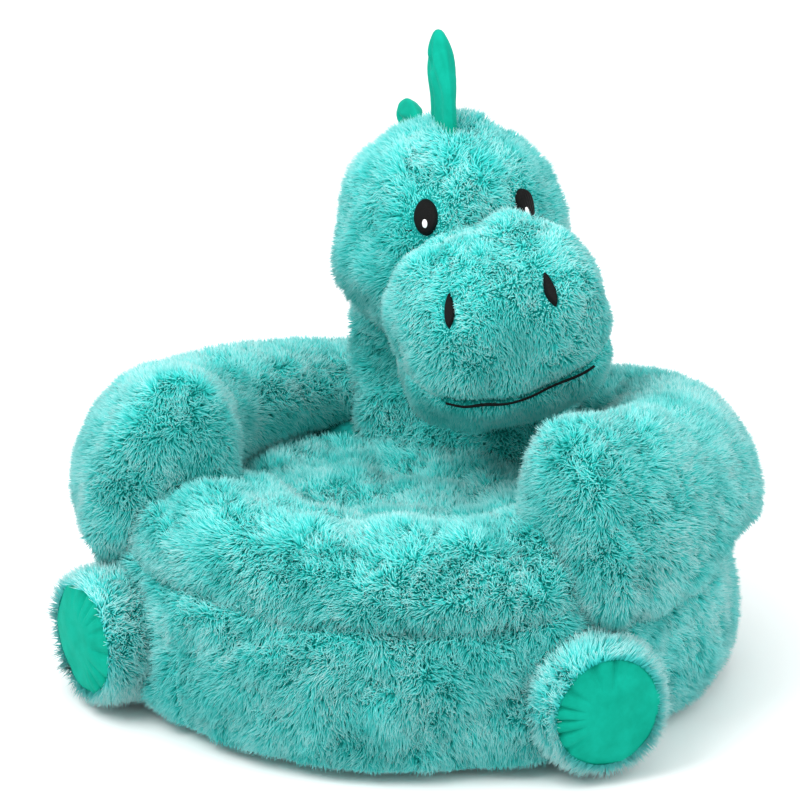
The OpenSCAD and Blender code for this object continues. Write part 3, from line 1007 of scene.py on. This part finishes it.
for side, sign in (("left", -1), ("right", 1)):
    def nostril_place(u, v):
        local = oval(u, v, 0.0036, 0.0108, 0.55, 10 * sign)
        x, z = local[:, 0] + sign * NOSTRIL_X, local[:, 1] + NOSTRIL_Z
        return snout_front(x, z, crown(v, 0.001, 0.0045))

    patch(f"nostril_patch_{side}", nostril_place, black_thread, "black_embroidery",
          f"nostril_{side}", muzzle, 36, 6)


# %% Mouth line
def mouth_place(u, v):
    x = mix(-0.048, 0.056, u)
    z = mouth_height(x) + 0.0018 + (v - 0.5) * 0.0013
    return snout_front(x, z, 0.0078 - 0.001 * np.abs(v - 0.5))


patch("mouth_thread", mouth_place, black_thread, "black_embroidery", "mouth_line", muzzle, 90, 4)


# %% Pile of the head, shaved round the eyes
def near_eye(places):
    """Distance from the nearer eye's edge, in eye half-sizes."""
    best = np.full(len(places), 9.0)
    for side in EYE_WAYS:
        frame_of = eye_axes(side)
        middle = head - frame_of[:, 1] * SKIN_R
        local = (places - middle) @ frame_of
        away = np.hypot(local[:, 0] / EYE_W, (local[:, 2]) / EYE_H)
        best = np.minimum(best, np.where(local[:, 1] < 0.03, away, 9.0))
    return best


def inside_muzzle(places, by):
    local = in_muzzle_frame(places)
    return np.sum(np.abs(local / (MUZZLE - by)) ** SQUARE, axis=1) < 1


def head_cover(part):
    def cover(places):
        away = near_eye(places)
        share = np.where(away < 1.0, 0, 0.30 + 0.62 * smooth((away - 1.35) / 1.0))
        share = np.where(inside_muzzle(places, 0.006), 0, share)
        behind = ((places - head) @ head_axes)[:, 1] > 0
        return share * (behind == (part == "rear"))
    return cover


for part, seed in (("front", 260), ("rear", 261)):
    pile = grow_pile(head_skin, f"head_pile_{part}", 0.0095, seed, comb=(-0.1, 0.15, -0.25),
                     cover=head_cover(part))
    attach(pile, "head")


# %% Pile of the snout and the jaw
def snout_cover(places):
    local = in_muzzle_frame(places)
    share = np.ones(len(places))
    for sign in (-1, 1):
        t = np.radians(10 * sign)
        x, z = local[:, 0] - sign * NOSTRIL_X, local[:, 2] - NOSTRIL_Z
        x, z = x * np.cos(t) + z * np.sin(t), z * np.cos(t) - x * np.sin(t)
        away = np.hypot(x / 0.0036, z / 0.0108)
        trimmed = np.minimum(share, 0.45 + 0.55 * smooth((away - 1) / 1.5))
        share = np.where((away < 1.0) & (local[:, 1] < 0), 0, trimmed)
    gape = local[:, 2] - mouth_height(local[:, 0])
    lip = (np.abs(gape - 0.0018) < 0.0030) & (local[:, 1] < -0.02)
    lip &= (local[:, 0] > -0.052) & (local[:, 0] < 0.064)
    near_lip = 0.5 + 0.5 * smooth((np.abs(gape - 0.0018) - 0.003) / 0.010)
    share = np.where(lip, 0, np.minimum(share, near_lip))
    share *= 0.35 + 0.65 * smooth((near_eye(places) - 1.5) / 1.5)
    return share * (local[:, 1] < 0.042)


for skin, name, seed, tone in ((snout_skin, "snout_pile", 270, 0.10), (jaw_skin, "jaw_pile", 271, 0.02)):
    pile = grow_pile(skin, name, 0.0068, seed, comb=(0, -0.05, -0.45), tone=tone, cover=snout_cover)
    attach(pile, "head")


# %% [markdown]
# ## The crest
# Each spike is two pieces of velour sewn edge to edge, stuffed, and caught through the middle
# by one stitch, which leaves a dimple with creases running from it. It is a closed form swept
# upwards: at each height the section is a lens whose two ends are the seams.


# %% Spikes
def spike(number, height, length, shift):
    joint = joints[f"spike_{number}_bend"]
    foot, along = np.array(joint["pos_m"]) + shift, np.array(joint["axis"])
    out = foot - head
    out /= np.linalg.norm(out)
    side = np.cross(along, out)
    seed = {"front": 51, "middle": 52, "rear": 53}[number]

    def place(u, v):
        t = mix(-0.019 / height, 1.0, v)
        rise = np.clip(t, 0, 1)
        half_l = length / 2 * (1 - rise ** 2.3) ** 0.6
        half_t = 0.0090 * (1 - rise ** 4) ** 0.5 * (0.80 + 0.20 * smooth(rise * 2))
        q = 2 * np.pi * u
        lens_l = np.sign(np.cos(q)) * np.abs(np.cos(q)) ** 0.9
        lens_t = np.sign(np.sin(q)) * np.abs(np.sin(q)) ** 1.25
        crease = 0.16 * np.cos(9 * lens_l + 2.3 * np.sin(5 * rise + seed)) * smooth((1 - rise) * 3)
        dimple = 0.62 * np.exp(-((lens_l * half_l / 0.0045) ** 2) - ((t - 0.55) * height / 0.0045) ** 2)
        thick = half_t * lens_t * (1 + crease - dimple)
        back_sweep = 0.10 * height * rise ** 2
        spot = foot + np.outer(t * height, out) + np.outer(lens_l * half_l + back_sweep, along)
        return spot + np.outer(thick, side)

    obj = panel(f"spike_{number}", 72, 60, place, foot + 0.4 * height * out)
    obj.data.materials.append(velour)
    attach(obj, f"spike_{number}")
    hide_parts(f"spike_{number}_cover", f"spike_{number}_fibre")
    return obj


spike("front", 0.056, 0.052, (0.001, 0, -0.002))
spike("middle", 0.037, 0.044, (-0.006, 0, -0.007))
spike("rear", 0.030, 0.036, (-0.003, 0, -0.003))

# %% [markdown]
# ## The feet
# A foot is a short fat tube of plush sewn to the base, closed by a velour sole. The sole is
# gathered into the seam, which leaves small pleats round its edge.

# %% Foot parts
FOOT_R, FOOT_L, SOLE_R = 0.0455, 0.036, 0.0400
FOOT_TOE_IN = 10
GATHERED = {"left": math.radians(160), "right": math.radians(30)}


def foot_frame(side):
    root = np.array(joints[f"foot_{side}_lift"]["pos_m"]) + (0, 0, 0.005)
    sign = np.sign(root[0])
    turn = math.atan2(root[0], -root[1]) - sign * math.radians(FOOT_TOE_IN)
    out = np.array([math.sin(turn), -math.cos(turn), 0])
    across = np.cross(out, (0, 0, 1))
    return root, out, across


def foot_place(root, out, across, y, r, q):
    spot = root + np.outer(y, out)
    return spot + np.outer(r * np.cos(q), across) + np.outer(r * np.sin(q), (0, 0, 1))


for side, seed in (("left", 280), ("right", 290)):
    root, out, across = foot_frame(side)

    def tube(u, v):
        q = 2 * np.pi * u
        y = mix(-0.014, FOOT_L, v)
        r = FOOT_R * (0.93 + 0.07 * smooth(v * 2.5)) - (FOOT_R - SOLE_R) * smooth((v - 0.72) / 0.28)
        spot = foot_place(root, out, across, y, r, q)
        return foot_place(root, out, across, y, r * (1 + 0.02 * lumps(spot, 0.04, seed)), q)

    def sole(u, v):
        q = 2 * np.pi * u
        gather = smooth(0.25 + 0.9 * np.cos(q - GATHERED[side]))
        fold = (1 - np.abs(np.sin(8 * q + 1.2 * np.sin(3 * q)))) ** 2
        pleat = gather * fold * smooth((v - 0.38) / 0.5)
        r = (SOLE_R + 0.0012 - 0.0030 * pleat * smooth((v - 0.85) / 0.15)) * v
        y = FOOT_L - 0.0008 + 0.0060 * (1 - v ** 2.6) - 0.0038 * pleat
        spot = foot_place(root, out, across, y, r, q)
        return spot + np.outer(0.0006 * lumps(spot, 0.03, seed + 3), out)

    tube_skin = panel(f"foot_{side}_skin", 90, 26, tube, root + 0.015 * out)
    tube_skin.data.materials.append(backing)
    sole_skin = panel(f"foot_{side}_velour_sole", 180, 30, sole, root)
    sole_skin.data.materials.append(velour)
    pile = grow_pile(tube_skin, f"foot_{side}_pile", 0.0105, seed,
                     comb=tuple(0.12 * out + (0, 0, -0.05)), tone=0.24)
    start, end = tuple(root - 0.002 * out), tuple(root + 0.014 * out)
    for piece in (tube_skin, pile):
        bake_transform(piece)
    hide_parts(f"foot_{side}_cover", f"foot_{side}_fibre")
    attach(sole_skin, f"foot_{side}")
    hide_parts(f"foot_{side}_sole")


# %% [markdown]
# ## The underside
# A plain woven cloth closes the base, and a zip lets the foam out for washing. The cloth is a
# disc with the zip's slot cut by a boolean. The zip's teeth are one tooth repeated by an array.

# %% Woven cloth and zip finishes
def weave_finish(name, colour, threads_per_m, roughness):
    finish, tree, skin = material(name)
    place = tree.nodes.new("ShaderNodeTexCoord")
    heights = []
    for way in ("X", "Y"):
        thread = tree.nodes.new("ShaderNodeTexWave")
        thread.bands_direction = way
        thread.inputs["Scale"].default_value = threads_per_m / 6.283
        thread.inputs["Distortion"].default_value = 0.4
        wire(tree, place.outputs["Object"], thread.inputs["Vector"])
        heights.append(thread.outputs["Fac"])
    woven = number(tree, "MULTIPLY", *heights)
    raise_grain(tree, skin, woven, 0.4, 0.0004)
    # The hollows of the weave are painted darker: painted shade between the threads.
    tone = ramp(tree, [(0.0, tuple(0.7 * c for c in colour)), (0.6, colour)])
    wire(tree, woven, tone.inputs["Fac"])
    wire(tree, tone.outputs["Color"], skin.inputs["Base Color"])
    matt(skin, roughness, 0.2)
    return finish


def speckled_finish(name, colour, roughness, metallic):
    finish, tree, skin = material(name)
    place = tree.nodes.new("ShaderNodeTexCoord")
    wear = tree.nodes.new("ShaderNodeTexNoise")
    wear.inputs["Scale"].default_value = 900
    wire(tree, place.outputs["Object"], wear.inputs["Vector"])
    tone = ramp(tree, [(0.3, tuple(0.8 * c for c in colour)), (0.7, colour)])
    wire(tree, wear.outputs["Fac"], tone.inputs["Fac"])
    wire(tree, tone.outputs["Color"], skin.inputs["Base Color"])
    skin.inputs["Roughness"].default_value = roughness
    skin.inputs["Metallic"].default_value = metallic
    return finish


base_cloth = weave_finish("plain_base_cloth", (0.012, 0.30, 0.28), 1400, 0.9)
tape_cloth = weave_finish("zip_tape_cloth", (0.008, 0.22, 0.21), 2600, 0.8)
tooth_plastic = speckled_finish("zip_tooth_plastic", (0.01, 0.24, 0.23), 0.4, 0.0)
slider_metal = speckled_finish("zip_slider_metal", (0.62, 0.62, 0.60), 0.3, 1.0)

# %% Base cloth
UNDER_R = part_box("bottom_cloth")[1][0]
coil_low, coil_high = np.array(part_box("zip_coil"))
tape_low, tape_high = np.array(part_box("zip_tape"))


def under_cloth(u, v):
    turn = 2 * np.pi * u
    out = UNDER_R * (0.001 + 0.999 * v)
    spot = np.stack([out * np.cos(turn), out * np.sin(turn), 0 * out], axis=1)
    spot[:, 2] = 0.0022 + 0.0004 * lumps(spot, 0.03, 301) * smooth((1 - v) * 5)
    return spot


def box_piece(name, low, high, finish, bevel):
    """A box between two corners with softened edges."""
    bpy.ops.object.select_all(action="DESELECT")
    bpy.ops.mesh.primitive_cube_add(size=1)
    obj = bpy.context.object
    obj.name = obj.data.name = name
    move_points(obj, (np.asarray(low) + high) / 2 + points_of(obj) * (np.asarray(high) - low))
    if bevel:
        soft = obj.modifiers.new("edges", "BEVEL")
        soft.width, soft.segments = bevel, 2
        bpy.ops.object.modifier_apply(modifier=soft.name)
    obj.data.materials.append(finish)
    return obj


cloth = panel("base_cloth", 128, 60, under_cloth, (0, 0, 0.05))
cloth.data.materials.append(base_cloth)
room = np.array([0.0, 0.002, 0.01])
slot_cutter = box_piece("slot_cutter", coil_low - room, coil_high + room, base_cloth, 0)
alone(cloth)
cut = cloth.modifiers.new("slot", "BOOLEAN")
cut.object, cut.operation, cut.solver = slot_cutter, "DIFFERENCE", "EXACT"
thick = cloth.modifiers.new("thick", "SOLIDIFY")
thick.thickness, thick.offset = 0.0009, 0
bpy.ops.object.modifier_apply(modifier=cut.name)
bpy.ops.object.modifier_apply(modifier=thick.name)
bpy.data.objects.remove(slot_cutter)
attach(cloth, "chair")
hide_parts("bottom_cloth")
print("base cloth:", len(cloth.data.vertices), "points")

# %% Zip
middle_y = (coil_low[1] + coil_high[1]) / 2
for k, (y_low, y_high) in enumerate(((tape_low[1], coil_low[1]), (coil_high[1], tape_high[1]))):
    tape = box_piece(f"zip_tape_half_{k + 1}", (tape_low[0], y_low, tape_low[2]),
                     (tape_high[0], y_high, tape_high[2]), tape_cloth, 0.0002)
    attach(tape, "chair")
    if k == 0:
        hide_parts("zip_tape")

PITCH = 0.0024
for k, side in enumerate((-1, 1)):
    start = coil_low[0] + k * PITCH / 2
    tip, root = middle_y - side * 0.0006, middle_y + side * (coil_high[1] - middle_y)
    teeth = box_piece(f"zip_teeth_{k + 1}", (start, min(tip, root), coil_low[2]),
                      (start + 0.0013, max(tip, root), coil_high[2]), tooth_plastic, 0.0002)
    row = teeth.modifiers.new("row", "ARRAY")
    row.use_relative_offset, row.use_constant_offset = False, True
    row.constant_offset_displace = (PITCH, 0, 0)
    row.count = int((coil_high[0] - coil_low[0]) / PITCH) - 1
    alone(teeth)
    bpy.ops.object.modifier_apply(modifier=row.name)
    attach(teeth, "chair")
    if k == 0:
        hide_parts("zip_coil")

slider_low, slider_high = np.array(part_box("zip_slider"))
slider = box_piece("zip_slider_body", slider_low, slider_high, slider_metal, 0.0002)
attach(slider, "zip_slider")
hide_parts("zip_slider")
print("zip:", int((coil_high[0] - coil_low[0]) / PITCH) - 1, "teeth a side")

# %% The end
bpy.data.objects.remove(hair)
